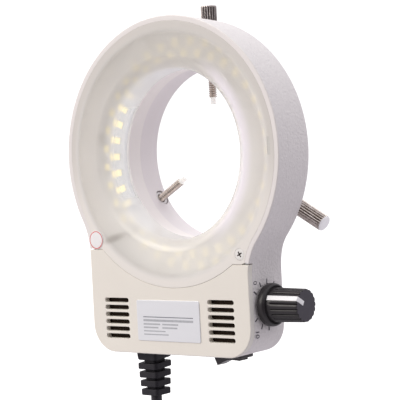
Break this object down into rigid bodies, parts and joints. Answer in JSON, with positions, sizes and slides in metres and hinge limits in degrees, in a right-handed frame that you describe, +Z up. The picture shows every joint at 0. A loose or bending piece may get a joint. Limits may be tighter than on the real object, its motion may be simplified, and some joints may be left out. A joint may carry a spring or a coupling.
{
  "type": "microscope ring light",
  "caption": "Round microscope lamp with a frosted diffuser, a control box with dimmer knob and rocker switch below, and a rear collar gripped to the objective by thumbscrews.",
  "frame": {"origin": "on the ring's axis, in the plane of the housing's back face", "axes": "+Y along the ring's axis towards the microscope body, light leaves towards -Y; +Z up with the control box below the ring; +X towards the dimmer knob"},
  "size_m": [0.1065, 0.0624, 0.2055],
  "materials": {
    "powder_coat": "satin powder coat with a fine orange-peel grain",
    "cover_paint": "satin off-white paint",
    "label_foil": "pale silvery film",
    "screw_steel": "zinc plated",
    "insert_brass": "turned",
    "frosted_plastic": "frosted, light passing",
    "paper_white": "plain white paper label",
    "board_white": "white solder mask",
    "lamp_phosphor": "clear resin over yellow phosphor",
    "board_green": "green solder mask",
    "component_black": "moulded",
    "pot_metal": "turned and pressed",
    "knob_black": "fine grained",
    "pointer_white": "moulded inlay",
    "switch_black": "moulded",
    "rocker_black": "semi-gloss",
    "lead_rubber": "flexible black vinyl",
    "wire_red": "vinyl insulation",
    "wire_dark": "vinyl insulation",
    "wire_yellow": "vinyl insulation",
    "nickel": "bright nickel plate",
    "nylon": "natural nylon",
    "tie_black": "hook and loop strap",
    "plug_nickel": "bright nickel plate"
  },
  "bodies": {
    "frame": {"housing": "powder_coat", "clamp_collar": "powder_coat", "front_cover": "cover_paint", "label_plate": "label_foil", "collar_screws": "screw_steel", "thread_inserts": "insert_brass", "diffuser": "frosted_plastic", "diffuser_screws": "screw_steel", "seal_sticker": "paper_white", "led_board": "board_white", "leds": "lamp_phosphor", "driver_board": "board_green", "driver_components": "component_black", "board_screws": "screw_steel", "pot_body": "pot_metal", "pot_pins": "insert_brass", "pot_washer": "screw_steel", "pot_nut": "screw_steel", "switch_body": "switch_black", "switch_terminals": "insert_brass", "strain_relief": "lead_rubber", "supply_wires": "wire_red", "led_wires": "wire_red", "switch_wires": "wire_dark", "pot_wires": "wire_yellow", "cord_lead": "lead_rubber", "cord_coil": "lead_rubber", "cord_tail": "lead_rubber", "coil_tie": "tie_black", "plug_body": "lead_rubber", "plug_barrel": "plug_nickel", "plug_insulator": "component_black"},
    "dial": {"knob": "knob_black", "knob_pointer": "pointer_white", "pot_shaft": "pot_metal"},
    "rocker": {"switch_rocker": "rocker_black"},
    "tip_top": {"screw_tip_top": "nylon"},
    "screw_top": {"thumbscrew_top": "nickel"},
    "tip_left": {"screw_tip_left": "nylon"},
    "screw_left": {"thumbscrew_left": "nickel"},
    "tip_right": {"screw_tip_right": "nylon"},
    "screw_right": {"thumbscrew_right": "nickel"}
  },
  "joints": [
    {"name": "dimmer_turn", "type": "hinge", "parent": "frame", "child": "dial", "pos_m": [0.03425, -0.011, -0.0548], "axis": [-1, 0, 0], "range_deg": [0, 290]},
    {"name": "power_rock", "type": "hinge", "parent": "frame", "child": "rocker", "pos_m": [0.0172, -0.01175, -0.0726], "axis": [0, 1, 0], "range_deg": [0, 22]},
    {"name": "screw_top_feed", "type": "slide", "parent": "frame", "child": "tip_top", "axis": [0, 0, -1], "range_m": [-0.014, 0.0024]},
    {"name": "screw_top_turn", "type": "hinge", "parent": "tip_top", "child": "screw_top", "pos_m": [0, 0.007, 0], "axis": [0, 0, -1], "range_deg": [-10900, 2050]},
    {"name": "screw_left_feed", "type": "slide", "parent": "frame", "child": "tip_left", "axis": [0.866, 0, 0.5], "range_m": [-0.014, 0.0024]},
    {"name": "screw_left_turn", "type": "hinge", "parent": "tip_left", "child": "screw_left", "pos_m": [0, 0.007, 0], "axis": [0.866, 0, 0.5], "range_deg": [-10900, 2050]},
    {"name": "screw_right_feed", "type": "slide", "parent": "frame", "child": "tip_right", "axis": [-0.866, 0, 0.5], "range_m": [-0.014, 0.0024]},
    {"name": "screw_right_turn", "type": "hinge", "parent": "tip_right", "child": "screw_right", "pos_m": [0, 0.007, 0], "axis": [-0.866, 0, 0.5], "range_deg": [-10900, 2050]}
  ],
  "couplings": [
    {"joint": "screw_top_turn", "follows": "screw_top_feed", "rad_per_m": 7854},
    {"joint": "screw_left_turn", "follows": "screw_left_feed", "rad_per_m": 7854},
    {"joint": "screw_right_turn", "follows": "screw_right_feed", "rad_per_m": 7854}
  ]
}
